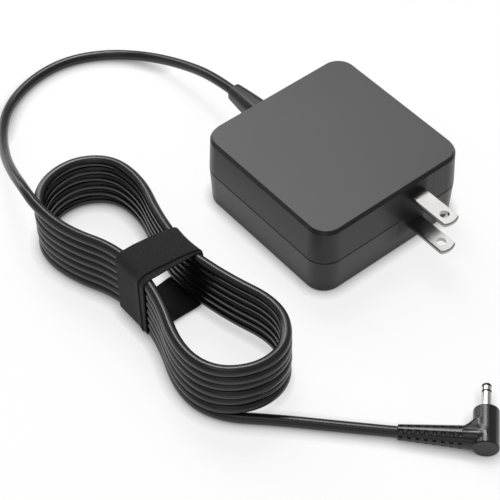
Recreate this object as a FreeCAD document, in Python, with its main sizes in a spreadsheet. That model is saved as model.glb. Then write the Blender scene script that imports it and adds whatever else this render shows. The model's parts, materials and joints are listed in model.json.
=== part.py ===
import FreeCAD, Part
import math
import os

# A square wall-plug power adapter: two plastic shells with a flat top plate, two flat
# blades in a plug insert, a converter board inside, and a thin output cord that is
# wound into a tied hank and ends in a right-angle barrel plug.
# Frame: millimetres, +Z up, origin at the centre of the case's bottom face on the floor,
# +X towards the blades, -X towards the cord exit.

V = FreeCAD.Vector
doc = FreeCAD.newDocument("power_adapter")
sheet = doc.addObject("Spreadsheet::Sheet", "Sizes")
SIZES = [
    # case
    ("case_half_bottom", 29.5), ("case_half_mid", 30.2), ("case_half_shoulder", 29.65),
    ("parting_height", 14.0), ("shoulder_height", 26.45),
    ("case_height", 27.7), ("corner_radius_mid", 7.5), ("corner_radius_bottom", 6.8),
    ("corner_radius_shoulder", 6.95), ("wall", 2.0), ("floor_thickness", 2.0),
    ("cavity_half", 28.2), ("cavity_radius", 5.9), ("ceiling_height", 25.1),
    ("lip_height", 1.1), ("lip_half", 29.0), ("rebate_half", 29.1), ("rebate_height", 1.3),
    ("bottom_edge_round", 0.8), ("parting_edge", 0.26), ("plate_half", 28.78),
    ("plate_seat_half", 27.0), ("plate_seat_depth", 0.4), ("plate_seat_radius", 4.6), ("plate_seat_gap", 0.06),
    ("plate_edge_round", 0.14), ("label_half_long", 22.0), ("label_half_short", 17.0),
    ("label_groove_width", 0.5), ("label_groove_depth", 0.3),
    ("post_radius", 2.0), ("post_offset", 21.5), ("board_bottom", 4.4),
    # plug insert and blades
    ("blade_center", 9.3), ("blade_mid_height", 15.4), ("blade_spacing", 12.7),
    ("blade_width", 6.35), ("blade_thickness", 1.52), ("blade_root", 24.3),
    ("blade_tip", 46.2), ("blade_tip_crown", 0.9), ("blade_hole_radius", 1.588),
    ("blade_hole_center", 42.1), ("blade_tip_bevel", 0.35), ("blade_corner_round", 0.9),
    ("insert_half_width", 7.45), ("insert_bottom", 5.9), ("insert_top", 24.9),
    ("insert_gap", 0.03), ("insert_back", 27.2), ("flange_back", 25.6),
    ("flange_half_width", 9.2), ("flange_bottom", 4.5), ("insert_edge", 0.05),
    # strain relief
    ("relief_height", 13.5), ("relief_neck_width", 8.8), ("relief_neck_height", 8.0),
    ("relief_neck_radius", 3.0), ("relief_wall_x", 30.2), ("relief_mid_x", 41.0),
    ("relief_mid_width", 7.2), ("relief_mid_height", 7.2), ("relief_mid_radius", 2.6),
    ("relief_end_x", 50.0), ("relief_end_width", 5.4), ("relief_end_height", 5.8),
    ("relief_end_radius", 2.2), ("relief_end_edge", 0.5), ("relief_back_x", 25.4),
    ("relief_flange_width", 12.6), ("relief_flange_height", 11.0), ("relief_flange_x", 27.2),
    # board and what stands on it
    ("board_half_y", 26.4), ("board_left", 27.0), ("board_right", 24.1), ("board_thickness", 1.6),
    ("board_radius", 5.0), ("film_thickness", 0.3), ("film_hole_radius", 2.3),
    ("bulk_radius", 8.0), ("bulk_length", 24.5), ("bulk_sleeve", 0.15),
    ("core_length", 18.0), ("core_width", 20.0), ("core_height", 16.4), ("core_plate", 3.2),
    ("bobbin_half", 7.3), ("bobbin_flange", 1.2), ("limb_radius", 4.2),
    ("choke_core_outer", 7.4), ("choke_core_inner", 4.1), ("choke_core_height", 5.0),
    ("choke_wire", 1.2), ("outcap_radius", 4.0), ("outcap_height", 13.0), ("fuse_radius", 4.1),
    ("fuse_height", 7.8), ("spreader_thickness", 0.5), ("spreader_half", 24.5),
    ("spreader_bottom", 24.5), ("lead_wire_radius", 0.6), ("output_wire_radius", 0.75),
    # cord
    ("cord_radius", 1.75), ("layer_pitch", 3.5), ("ribbon_half", 1.95),
    # strap
    ("strap_left", 80.2), ("strap_right", 58.6), ("strap_top_left", 25.55), ("strap_top_right", 23.75),
    ("strap_layer", 0.47), ("strap_inner_start", -5.1), ("strap_inner_end", 7.2),
    ("strap_outer_start", -6.9), ("strap_outer_end", 4.7), ("strap_corner", 1.9),
    # barrel plug, in its own frame: x along the boot, y along the barrel
    ("plug_x", 101.55), ("plug_y", -29.2), ("plug_yaw", 44.6), ("plug_axis_height", 3.95),
    ("head_radius", 3.93), ("head_front", 4.3), ("head_back", 9.2), ("head_edge", 0.3), ("boot_length", 25.6),
    ("boot_end_radius", 2.3), ("boot_root_radius", 3.88), ("boot_end_height", 2.32), ("boot_root_height", 3.92),
    ("boot_end_offset", 0.4), ("boot_root_offset", -0.65), ("neck_radius", 1.95), ("neck_front", 9.6),
    ("barrel_radius", 1.5), ("collar_radius", 1.8), ("barrel_bore", 1.15), ("barrel_root", 5.6), ("barrel_front", 17.6),
    ("barrel_groove", 15.6), ("tip_front", 18.7), ("contact_outer", 0.8), ("contact_bore", 0.55),
    ("notch_pitch", 2.45), ("notch_length", 1.05), ("notch_width", 0.95), ("notch_depth", 0.6),
    ("gusset_bottom", 1.0), ("gusset_top", 5.6),
]
for row, (alias, value) in enumerate(SIZES, start=1):
    sheet.set("A%d" % row, alias)
    sheet.set("B%d" % row, str(value))
    sheet.setAlias("B%d" % row, alias)
doc.recompute()


def val(alias):
    return float(sheet.get(alias))


def ex(text):
    """The expression with every alias looked up in the sheet."""
    out, word = "", ""
    for ch in text + " ":
        if ch.isalnum() or ch == "_":
            word += ch
            continue
        if word:
            out += ("Sizes." + word) if word in NAMES else word
            word = ""
        out += ch
    return out.strip()


NAMES = {n for n, _ in SIZES}


def num(text):
    """The value of an expression over the sheet's aliases."""
    tmp = sheet_eval.get(text)
    if tmp is not None:
        return tmp
    helper.setExpression("value", ex(text))
    doc.recompute([helper])
    sheet_eval[text] = float(helper.value)
    return sheet_eval[text]


sheet_eval = {}
helper = doc.addObject("App::FeaturePython", "lookup")
helper.addProperty("App::PropertyFloat", "value")

NODES = []


def node(obj, label):
    obj.Label = label
    NODES.append(obj)
    return obj


def new_body(name):
    return doc.addObject("PartDesign::Body", name)


def plane(body, role):
    return [o for o in body.Origin.OriginFeatures if o.Role == role][0]


def new_sketch(body, name, role="XY_Plane", offset="0"):
    s = body.newObject("Sketcher::SketchObject", name)
    s.AttachmentSupport = [(plane(body, role), "")]
    s.MapMode = "FlatFace"
    s.AttachmentOffset = FreeCAD.Placement(V(0, 0, num(offset)), FreeCAD.Rotation())
    if offset != "0":
        s.setExpression("AttachmentOffset.Base.z", ex(offset))
    return s


def fix(s, geo, point, axis, text):
    """Holds one coordinate of a sketch point at the value of an expression."""
    import Sketcher
    v = num(text)
    kind = "DistanceX" if axis == 0 else "DistanceY"
    if abs(v) < 1e-9:
        s.addConstraint(Sketcher.Constraint("PointOnObject", geo, point, -2 if axis == 0 else -1))
        return
    if v > 0:
        i = s.addConstraint(Sketcher.Constraint(kind, -1, 1, geo, point, v))
        s.setExpression("Constraints[%d]" % i, ex(text))
    else:
        i = s.addConstraint(Sketcher.Constraint(kind, geo, point, -1, 1, -v))
        s.setExpression("Constraints[%d]" % i, ex("-(" + text + ")"))


def rrect(s, left, right, low, high, radius):
    """A rounded rectangle, each side and the radius bound to an expression."""
    import Sketcher
    x0, x1, y0, y1, r = num(left), num(right), num(low), num(high), num(radius)
    n = s.GeometryCount
    q = math.pi / 2
    s.addGeometry([
        Part.LineSegment(V(x0 + r, y0, 0), V(x1 - r, y0, 0)),
        Part.LineSegment(V(x1, y0 + r, 0), V(x1, y1 - r, 0)),
        Part.LineSegment(V(x1 - r, y1, 0), V(x0 + r, y1, 0)),
        Part.LineSegment(V(x0, y1 - r, 0), V(x0, y0 + r, 0)),
        Part.ArcOfCircle(Part.Circle(V(x1 - r, y0 + r, 0), V(0, 0, 1), r), 3 * q, 4 * q),
        Part.ArcOfCircle(Part.Circle(V(x1 - r, y1 - r, 0), V(0, 0, 1), r), 0, q),
        Part.ArcOfCircle(Part.Circle(V(x0 + r, y1 - r, 0), V(0, 0, 1), r), q, 2 * q),
        Part.ArcOfCircle(Part.Circle(V(x0 + r, y0 + r, 0), V(0, 0, 1), r), 2 * q, 3 * q)], False)
    C = Sketcher.Constraint
    for k in range(4):
        s.addConstraint(C("Tangent", n + k, 2, n + 4 + k, 1))
        s.addConstraint(C("Tangent", n + 4 + k, 2, n + (k + 1) % 4, 1))
    s.addConstraint([C("Horizontal", n), C("Vertical", n + 1), C("Horizontal", n + 2), C("Vertical", n + 3)])
    for k in (5, 6, 7):
        s.addConstraint(C("Equal", n + 4, n + k))
    i = s.addConstraint(C("Radius", n + 4, r))
    s.setExpression("Constraints[%d]" % i, ex(radius))
    fix(s, n + 3, 1, 0, left)
    fix(s, n + 1, 1, 0, right)
    fix(s, n, 1, 1, low)
    fix(s, n + 2, 1, 1, high)


def ring(s, x, y, radius):
    import Sketcher
    g = s.addGeometry(Part.Circle(V(num(x), num(y), 0), V(0, 0, 1), num(radius)), False)
    i = s.addConstraint(Sketcher.Constraint("Radius", g, num(radius)))
    s.setExpression("Constraints[%d]" % i, ex(radius))
    fix(s, g, 3, 0, x)
    fix(s, g, 3, 1, y)


def poly(s, points):
    """A closed polygon whose corners are pairs of expressions."""
    import Sketcher
    n = s.GeometryCount
    xy = [(num(a), num(b)) for a, b in points]
    m = len(xy)
    s.addGeometry([Part.LineSegment(V(xy[k][0], xy[k][1], 0), V(xy[(k + 1) % m][0], xy[(k + 1) % m][1], 0))
                   for k in range(m)], False)
    for k in range(m):
        s.addConstraint(Sketcher.Constraint("Coincident", n + k, 2, n + (k + 1) % m, 1))
    for k, (a, b) in enumerate(points):
        fix(s, n + k, 1, 0, a)
        fix(s, n + k, 1, 1, b)


def pad(body, s, length, name, taper=None, reverse=False, mid=False):
    f = body.newObject("PartDesign::Pad", name)
    f.Profile = s
    f.Length = num(length)
    f.setExpression("Length", ex(length))
    f.Reversed = reverse
    if mid:
        f.Midplane = True
    if taper is not None:
        f.TaperAngle = num(taper)
        f.setExpression("TaperAngle", ex(taper))
    doc.recompute()
    return f


def pocket(body, s, length, name, taper=None, reverse=False, mid=False, least=1e-3):
    before = body.Shape.Volume
    f = body.newObject("PartDesign::Pocket", name)
    f.Profile = s
    f.Length = num(length)
    f.setExpression("Length", ex(length))
    f.Reversed = reverse
    if mid:
        f.Midplane = True
    if taper is not None:
        f.TaperAngle = num(taper)
        f.setExpression("TaperAngle", ex(taper))
    doc.recompute()
    cut = before - body.Shape.Volume
    if cut < least:
        raise RuntimeError("pocket %s cuts nothing (%.4f)" % (name, cut))
    return f


def revolve(body, s, name, cut=False, axis="V_Axis"):
    before = body.Shape.Volume if cut else 0.0
    f = body.newObject("PartDesign::Groove" if cut else "PartDesign::Revolution", name)
    f.Profile = s
    f.ReferenceAxis = (s, [axis])
    f.Angle = 360.0
    doc.recompute()
    if cut and before - body.Shape.Volume < 1e-4:
        raise RuntimeError("groove %s cuts nothing" % name)
    return f


def dress(body, kind, edges, size, name):
    base = body.Tip
    f = body.newObject("PartDesign::" + kind, name)
    f.Base = (base, edges)
    prop = "Radius" if kind == "Fillet" else "Size"
    setattr(f, prop, num(size))
    f.setExpression(prop, ex(size))
    doc.recompute()
    return f


def edges_where(shape, test):
    return ["Edge%d" % (i + 1) for i, e in enumerate(shape.Edges) if test(e.BoundBox, e)]


def taper(run, rise):
    return "atan((%s) / (%s))" % (run, rise)


# ---------------------------------------------------------------- lower shell
b = new_body("LowerShellBody")
s = new_sketch(b, "lower_outline")
rrect(s, "-case_half_bottom", "case_half_bottom", "-case_half_bottom", "case_half_bottom", "corner_radius_bottom")
pad(b, s, "parting_height", "lower_outer", taper=taper("case_half_mid - case_half_bottom", "parting_height"))
if b.Shape.BoundBox.XLength < 2 * val("case_half_mid") - 0.05:
    raise RuntimeError("the lower shell's draft points the wrong way")
dress(b, "Fillet", edges_where(b.Shape, lambda k, e: k.ZMax < 0.01), "bottom_edge_round", "bottom_round")
dress(b, "Chamfer", edges_where(b.Shape, lambda k, e: k.ZMin > val("parting_height") - 0.01), "parting_edge", "parting_bevel_low")
s = new_sketch(b, "lip_outline", offset="parting_height")
rrect(s, "-lip_half", "lip_half", "-lip_half", "lip_half", "corner_radius_mid - (case_half_mid - lip_half)")
pad(b, s, "lip_height", "lip")
s = new_sketch(b, "cavity_outline", offset="parting_height + lip_height")
rrect(s, "-cavity_half", "cavity_half", "-cavity_half", "cavity_half", "cavity_radius")
pocket(b, s, "parting_height + lip_height - floor_thickness", "cavity_low", taper="-" + taper("0.9", "12"))
s = new_sketch(b, "insert_opening_low", "YZ_Plane", "case_half_mid + 2")
rrect(s, "blade_center - insert_half_width - insert_gap", "blade_center + insert_half_width + insert_gap",
      "insert_bottom - insert_gap", "parting_height + 6", "0.05")
pocket(b, s, "8", "insert_window_low")
s = new_sketch(b, "relief_opening_low", "YZ_Plane", "-(case_half_mid + 2)")
rrect(s, "-relief_neck_width / 2", "relief_neck_width / 2", "relief_height - relief_neck_height / 2",
      "relief_height + relief_neck_height / 2", "relief_neck_radius")
pocket(b, s, "8", "relief_window_low", reverse=True)
s = new_sketch(b, "label_frame", offset="0")
rrect(s, "-label_half_long", "label_half_long", "-label_half_short", "label_half_short", "3")
rrect(s, "-label_half_long + label_groove_width", "label_half_long - label_groove_width",
      "-label_half_short + label_groove_width", "label_half_short - label_groove_width", "2.5")
pocket(b, s, "label_groove_depth", "label_groove", reverse=True)
for i, (sx, sy) in enumerate(((1, 1), (1, -1), (-1, 1), (-1, -1))):
    s = new_sketch(b, "post_%d" % i, offset="floor_thickness - 0.5")
    ring(s, ("" if sx > 0 else "-") + "post_offset", ("" if sy > 0 else "-") + "post_offset", "post_radius")
    pad(b, s, "board_bottom - floor_thickness + 0.5", "post_pad_%d" % i)
node(b, "lower_shell")

# ---------------------------------------------------------------- upper shell
b = new_body("UpperShellBody")
s = new_sketch(b, "upper_outline", offset="parting_height")
rrect(s, "-case_half_mid", "case_half_mid", "-case_half_mid", "case_half_mid", "corner_radius_mid")
pad(b, s, "shoulder_height - parting_height", "upper_outer",
    taper="-" + taper("case_half_mid - case_half_shoulder", "shoulder_height - parting_height"))
dress(b, "Chamfer", edges_where(b.Shape, lambda k, e: k.ZMax < val("parting_height") + 0.01), "parting_edge", "parting_bevel_top")
s = new_sketch(b, "plate_seat_outline", offset="shoulder_height")
rrect(s, "-plate_seat_half", "plate_seat_half", "-plate_seat_half", "plate_seat_half", "plate_seat_radius")
pocket(b, s, "plate_seat_depth", "plate_seat")
s = new_sketch(b, "rebate_outline", offset="parting_height")
rrect(s, "-rebate_half", "rebate_half", "-rebate_half", "rebate_half", "corner_radius_mid - (case_half_mid - rebate_half)")
pocket(b, s, "rebate_height", "rebate", reverse=True)
s = new_sketch(b, "cavity_outline_top", offset="parting_height")
rrect(s, "-cavity_half", "cavity_half", "-cavity_half", "cavity_half", "cavity_radius")
pocket(b, s, "ceiling_height - parting_height", "cavity_top", taper="-" + taper("0.5", "11"), reverse=True)
s = new_sketch(b, "insert_opening_top", "YZ_Plane", "case_half_mid + 2")
rrect(s, "blade_center - insert_half_width - insert_gap", "blade_center + insert_half_width + insert_gap",
      "parting_height - 6", "insert_top + insert_gap", "0.05")
pocket(b, s, "8", "insert_window_top")
s = new_sketch(b, "relief_opening_top", "YZ_Plane", "-(case_half_mid + 2)")
rrect(s, "-relief_neck_width / 2", "relief_neck_width / 2", "relief_height - relief_neck_height / 2",
      "relief_height + relief_neck_height / 2", "relief_neck_radius")
pocket(b, s, "8", "relief_window_top", reverse=True)
node(b, "upper_shell")

# ---------------------------------------------------------------- top plate, bevelled all round, with a tongue in the shell's seat
b = new_body("TopPlateBody")
s = new_sketch(b, "plate_outline", offset="shoulder_height")
rrect(s, "-case_half_shoulder", "case_half_shoulder", "-case_half_shoulder", "case_half_shoulder", "corner_radius_shoulder")
pad(b, s, "case_height - shoulder_height", "plate",
    taper="-" + taper("case_half_shoulder - plate_half", "case_height - shoulder_height"))
if b.Shape.BoundBox.XLength > 2 * val("case_half_shoulder") + 0.01:
    raise RuntimeError("the plate's bevel points the wrong way")
s = new_sketch(b, "tongue_outline", offset="shoulder_height")
rrect(s, "-plate_seat_half + plate_seat_gap", "plate_seat_half - plate_seat_gap", "-plate_seat_half + plate_seat_gap",
      "plate_seat_half - plate_seat_gap", "plate_seat_radius")
pad(b, s, "plate_seat_depth - plate_seat_gap", "tongue", reverse=True)
dress(b, "Fillet", edges_where(b.Shape, lambda k, e: k.ZMin > val("case_height") - 0.01), "plate_edge_round", "plate_round")
node(b, "top_plate")


# ---------------------------------------------------------------- blades
def blade(label, sign):
    b = new_body(label + "_body")
    mid = "blade_mid_height %s blade_spacing / 2" % sign
    s = new_sketch(b, label + "_outline", offset=mid)
    import Sketcher
    x0, x1, w, c, yc = (num("blade_root"), num("blade_tip"), num("blade_width / 2"), num("blade_tip_crown"), num("blade_center"))
    a, d = V(x1 - c, yc - w, 0), V(x1 - c, yc + w, 0)
    s.addGeometry([Part.LineSegment(V(x0, yc - w, 0), a), Part.Arc(a, V(x1, yc, 0), d),
                   Part.LineSegment(d, V(x0, yc + w, 0)), Part.LineSegment(V(x0, yc + w, 0), V(x0, yc - w, 0))], False)
    K = Sketcher.Constraint
    s.addConstraint([K("Coincident", 0, 2, 1, 1), K("Coincident", 1, 2, 2, 1), K("Coincident", 2, 2, 3, 1), K("Coincident", 3, 2, 0, 1)])
    fix(s, 0, 1, 0, "blade_root")
    fix(s, 0, 1, 1, "blade_center - blade_width / 2")
    fix(s, 0, 2, 0, "blade_tip - blade_tip_crown")
    fix(s, 0, 2, 1, "blade_center - blade_width / 2")
    fix(s, 2, 1, 0, "blade_tip - blade_tip_crown")
    fix(s, 2, 1, 1, "blade_center + blade_width / 2")
    fix(s, 3, 1, 0, "blade_root")
    fix(s, 3, 1, 1, "blade_center + blade_width / 2")
    i = s.addConstraint(K("Radius", 1, (w * w + c * c) / (2 * c)))
    s.setExpression("Constraints[%d]" % i, ex("((blade_width / 2) ^ 2 + blade_tip_crown ^ 2) / (2 * blade_tip_crown)"))
    pad(b, s, "blade_thickness", label + "_pad", mid=True)
    dress(b, "Fillet", edges_where(b.Shape, lambda k, e: k.ZLength > 1.0 and k.XMin > x1 - c - 0.01), "blade_corner_round", label + "_corner")
    dress(b, "Chamfer", edges_where(b.Shape, lambda k, e: k.ZLength < 0.01 and k.XMin > x1 - 2.5), "blade_tip_bevel", label + "_bevel")
    s = new_sketch(b, label + "_hole_ring", offset=mid + " - 2")
    ring(s, "blade_hole_center", "blade_center", "blade_hole_radius")
    pocket(b, s, "4", label + "_hole", reverse=True)
    s = new_sketch(b, label + "_tag_ring", offset=mid + " - 2")
    ring(s, "blade_root + 1.3", "blade_center", "0.7")
    pocket(b, s, "4", label + "_tag", reverse=True)
    return node(b, label)


blades = [blade("blade_upper", "+"), blade("blade_lower", "-")]

# ---------------------------------------------------------------- plug insert
b = new_body("PlugInsertBody")
s = new_sketch(b, "insert_profile", "XZ_Plane", "-(blade_center + insert_half_width)")
poly(s, [("insert_back", "insert_bottom"),
         ("case_half_bottom + (case_half_mid - case_half_bottom) * insert_bottom / parting_height", "insert_bottom"),
         ("case_half_mid", "parting_height"),
         ("case_half_mid - (case_half_mid - case_half_shoulder) * (insert_top - parting_height) / (shoulder_height - parting_height)", "insert_top"),
         ("insert_back", "insert_top")])
pad(b, s, "2 * insert_half_width", "insert_block")
dress(b, "Chamfer", edges_where(b.Shape, lambda k, e: k.XMin > 29.4 and not (k.YLength > 5 and abs(k.ZMin - 14.0) < 0.1)), "insert_edge", "insert_bevel")
s = new_sketch(b, "flange_outline", "YZ_Plane", "flange_back")
rrect(s, "blade_center - flange_half_width", "blade_center + flange_half_width", "flange_bottom", "insert_top", "1")
pad(b, s, "insert_back - flange_back", "insert_flange")
for k, sign in (("upper", "+"), ("lower", "-")):
    s = new_sketch(b, "slot_" + k, "YZ_Plane", "case_half_mid + 2")
    rrect(s, "blade_center - blade_width / 2", "blade_center + blade_width / 2",
          "blade_mid_height %s blade_spacing / 2 - blade_thickness / 2" % sign,
          "blade_mid_height %s blade_spacing / 2 + blade_thickness / 2" % sign, "0.02")
    pocket(b, s, "10", "slot_cut_" + k)
node(b, "plug_insert")

# ---------------------------------------------------------------- strain relief
b = new_body("StrainReliefBody")
sections = []
for name, x, w, h, r in (("a", "relief_wall_x", "relief_neck_width", "relief_neck_height", "relief_neck_radius"),
                         ("b", "relief_mid_x", "relief_mid_width", "relief_mid_height", "relief_mid_radius"),
                         ("c", "relief_end_x", "relief_end_width", "relief_end_height", "relief_end_radius")):
    s = new_sketch(b, "relief_section_" + name, "YZ_Plane", "-(" + x + ")")
    rrect(s, "-%s / 2" % w, "%s / 2" % w, "relief_height - %s / 2" % h, "relief_height + %s / 2" % h, r)
    sections.append(s)
f = b.newObject("PartDesign::AdditiveLoft", "relief_loft")
f.Profile = sections[0]
f.Sections = sections[1:]
f.Ruled = False
f.Closed = False
doc.recompute()
dress(b, "Fillet", edges_where(b.Shape, lambda k, e: k.XMax < -val("relief_end_x") + 0.01), "relief_end_edge", "relief_end_round")
s = new_sketch(b, "relief_neck", "YZ_Plane", "-relief_wall_x")
rrect(s, "-relief_neck_width / 2", "relief_neck_width / 2", "relief_height - relief_neck_height / 2",
      "relief_height + relief_neck_height / 2", "relief_neck_radius")
pad(b, s, "relief_wall_x - relief_flange_x", "relief_neck_pad")
s = new_sketch(b, "relief_flange", "YZ_Plane", "-relief_flange_x")
rrect(s, "-relief_flange_width / 2", "relief_flange_width / 2", "relief_height - relief_flange_height / 2",
      "relief_height + relief_flange_height / 2", "1.5")
pad(b, s, "relief_flange_x - relief_back_x", "relief_flange_pad")
RELIEF = node(b, "strain_relief")

# ---------------------------------------------------------------- board and film
b = new_body("CircuitBoardBody")
s = new_sketch(b, "board_outline", offset="board_bottom")
rrect(s, "-board_left", "board_right", "-board_half_y", "board_half_y", "board_radius")
pad(b, s, "board_thickness", "board")
s = new_sketch(b, "isolation_slot", offset="board_bottom")
rrect(s, "-12.5", "-5.5", "-4.1", "-3.0", "0.5")
pocket(b, s, "board_thickness", "slot", reverse=True)
BOARD = node(b, "circuit_board")

b = new_body("InsulationFilmBody")
s = new_sketch(b, "film_outline", offset="floor_thickness")
rrect(s, "-25.8", "25.8", "-25.8", "25.8", "4")
for sx in ("", "-"):
    for sy in ("", "-"):
        ring(s, sx + "post_offset", sy + "post_offset", "film_hole_radius")
pad(b, s, "film_thickness", "film")
node(b, "insulation_film")

TOP = "board_bottom + board_thickness"
top = num(TOP)


def place(obj, x, y, z, axis=None, angle=0.0):
    obj.Placement = FreeCAD.Placement(V(x, y, z), FreeCAD.Rotation(axis or V(0, 0, 1), angle))
    return obj


def box(name, lx, ly, lz, x, y, z):
    o = doc.addObject("Part::Box", name)
    for prop, text in (("Length", lx), ("Width", ly), ("Height", lz)):
        setattr(o, prop, num(text))
        if any(n in text for n in NAMES):
            o.setExpression(prop, ex(text))
    return place(o, x, y, z)


def cyl(name, r, h, x, y, z, axis=None, angle=0.0):
    o = doc.addObject("Part::Cylinder", name)
    o.Radius, o.Height = num(r), num(h)
    if any(n in r for n in NAMES):
        o.setExpression("Radius", ex(r))
    if any(n in h for n in NAMES):
        o.setExpression("Height", ex(h))
    return place(o, x, y, z, axis, angle)


def fuse(name, parts):
    o = doc.addObject("Part::MultiFuse", name)
    o.Shapes = parts
    doc.recompute()
    return o


def cut(name, base, tool):
    o = doc.addObject("Part::Cut", name)
    o.Base, o.Tool = base, tool
    doc.recompute()
    return o


def group(name, parts):
    o = doc.addObject("Part::Compound", name)
    o.Links = parts
    doc.recompute()
    return o


def soft_edges(name, base, size, test=None, chamfer=False):
    o = doc.addObject("Part::Chamfer" if chamfer else "Part::Fillet", name)
    o.Base = base
    doc.recompute()
    o.Edges = [(i + 1, size, size) for i, e in enumerate(base.Shape.Edges) if test is None or test(e.BoundBox, e)]
    doc.recompute()
    return o


# ---------------------------------------------------------------- bulk capacitor, lying along Y
b = new_body("BulkCapacitorBody")
s = new_sketch(b, "can_profile", "XY_Plane")
R = "bulk_radius"
poly(s, [("0", "0"), (R + " - 0.6", "0"), (R, "0.6"), (R, "2.2"), (R + " - 0.7", "2.7"), (R + " - 0.7", "3.3"), (R, "3.8"),
         (R, "bulk_length - 0.6"), (R + " - 0.6", "bulk_length"), ("0", "bulk_length")])
revolve(b, s, "can")
s = new_sketch(b, "vent", "XZ_Plane", "-bulk_length")
rrect(s, "-4.5", "4.5", "-0.3", "0.3", "0.1")
pocket(b, s, "0.3", "vent_cut", reverse=True)
place(b, 8.2, -7.4, top + val("bulk_radius"))
node(b, "bulk_capacitor")

# ---------------------------------------------------------------- output capacitors, two alike
cans = []
for i, (x, y) in enumerate(((-9.4, -9.3), (-9.4, -18.2))):
    b = new_body("output_can_%d" % i)
    s = new_sketch(b, "output_can_profile_%d" % i, "XZ_Plane")
    R = "outcap_radius"
    poly(s, [("0", "0"), (R + " - 0.3", "0"), (R, "0.4"), (R, "1.6"), (R + " - 0.4", "2.0"), (R, "2.4"),
             (R, "outcap_height - 0.4"), (R + " - 0.4", "outcap_height"), ("0", "outcap_height")])
    revolve(b, s, "output_can_rev_%d" % i)
    place(b, x, y, top)
    cans.append(b)
node(group("OutputCapacitors", cans), "output_capacitors")

# ---------------------------------------------------------------- transformer
tx, ty = -10.9, 7.7
ch, cp, cl, cw = val("core_height"), val("core_plate"), val("core_length"), val("core_width")
core = fuse("core_parts", [
    box("core_low", "core_length", "core_width", "core_plate", tx - cl / 2, ty - cw / 2, top),
    box("core_high", "core_length", "core_width", "core_plate", tx - cl / 2, ty - cw / 2, top + ch - cp),
    box("core_leg_a", "core_length", "2.2", "core_height", tx - cl / 2, ty - cw / 2, top),
    box("core_leg_b", "core_length", "2.2", "core_height", tx - cl / 2, ty + cw / 2 - 2.2, top),
    cyl("core_limb", "limb_radius", "core_height", tx, ty, top)])
node(soft_edges("TransformerCore", core, 0.35, lambda k, e: k.ZLength > 10 and abs(abs(k.YMin - ty) - cw / 2) < 0.01 and k.YLength < 0.01), "transformer_core")
bh = ch - 2 * cp
bob = fuse("bobbin_parts", [
    cyl("bobbin_tube", "limb_radius + 0.9", "core_height - 2 * core_plate", tx, ty, top + cp),
    cyl("bobbin_low", "bobbin_half", "bobbin_flange", tx, ty, top + cp),
    cyl("bobbin_high", "bobbin_half", "bobbin_flange", tx, ty, top + ch - cp - val("bobbin_flange"))])
node(cut("TransformerBobbin", bob, cyl("bobbin_hole", "limb_radius", "core_height", tx, ty, top)), "transformer_bobbin")
bf = val("bobbin_flange")
wind = cyl("winding_outer", "bobbin_half - 0.2", "core_height - 2 * core_plate - 2 * bobbin_flange", tx, ty, top + cp + bf)
node(cut("TransformerWinding", wind, cyl("winding_hole", "limb_radius + 0.9", "core_height", tx, ty, top)), "transformer_winding")

# ---------------------------------------------------------------- common-mode choke
kx, ky, kw = 12.0, -17.2, val("choke_wire")
kh, kr, ki = val("choke_core_height"), val("choke_core_outer"), val("choke_core_inner")
kc = cut("choke_ring", cyl("choke_disc", "choke_core_outer", "choke_core_height", kx, ky, top + kw),
         cyl("choke_eye", "choke_core_inner", "choke_core_height", kx, ky, top + kw))
node(soft_edges("ChokeCore", kc, 0.4), "choke_core")
turns = []
for i, a in enumerate((-55.0, 125.0)):
    o = doc.addObject("Part::Cylinder", "choke_sector_%d" % i)
    o.setExpression("Radius", ex("choke_core_outer + choke_wire"))
    o.setExpression("Height", ex("choke_core_height + 2 * choke_wire"))
    o.Angle = 110.0
    place(o, kx, ky, top, V(0, 0, 1), a)
    eye = cyl("choke_inner_%d" % i, "choke_core_inner - choke_wire", "20", kx, ky, top - 1)
    solid = cut("choke_shell_%d" % i, o, eye)
    ringc = cut("choke_room_%d" % i, cyl("choke_room_o_%d" % i, "choke_core_outer", "choke_core_height", kx, ky, top + kw),
                cyl("choke_room_i_%d" % i, "choke_core_inner", "choke_core_height", kx, ky, top + kw))
    turns.append(cut("choke_turns_%d" % i, solid, ringc))
node(group("ChokeWindings", turns), "choke_windings")


# ---------------------------------------------------------------- small parts on the board
def legs(name, spots, radius, height):
    return [cyl("%s_leg_%d" % (name, i), str(radius), str(height), x, y, top) for i, (x, y) in enumerate(spots)]


body_ = cyl("fuse_body", "fuse_radius", "fuse_height - 1", 19.3, 21.3 - 0.3, top + 1.0)
f1 = soft_edges("fuse_round", body_, 0.6, lambda k, e: k.ZLength < 0.01)
node(fuse("InputFuse", [f1] + legs("fuse", ((16.8, 21.0), (21.8, 21.0)), 0.35, 1.4)), "input_fuse")
disc = cyl("varistor_disc", "3.6", "3.2", 18.6, 12.6, top + 5.0, V(0, 1, 0), 90)
f1 = soft_edges("varistor_round", disc, 1.0, lambda k, e: k.XLength < 0.01)
node(fuse("Varistor", [f1] + [cyl("varistor_leg_a", "0.35", "3.0", 19.6, 10.6, top), cyl("varistor_leg_b", "0.35", "3.0", 20.6, 14.6, top)]), "surge_varistor")
bx = box("xcap_box", "6", "13", "11.5", 17.7, -9.2, top)
node(soft_edges("XCapacitor", bx, 0.4), "x_capacitor")
bx = box("bridge_box", "8.4", "6.4", "2.6", 2.0, 19.2, top + 0.2)
brd = soft_edges("bridge_edges", bx, 0.25)
node(fuse("BridgeRectifier", [brd] + [box("bridge_tab_%d" % i, "1.2", "7.6", "0.3", x, 18.6, top) for i, x in enumerate((2.9, 8.3))]), "bridge_rectifier")


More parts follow.
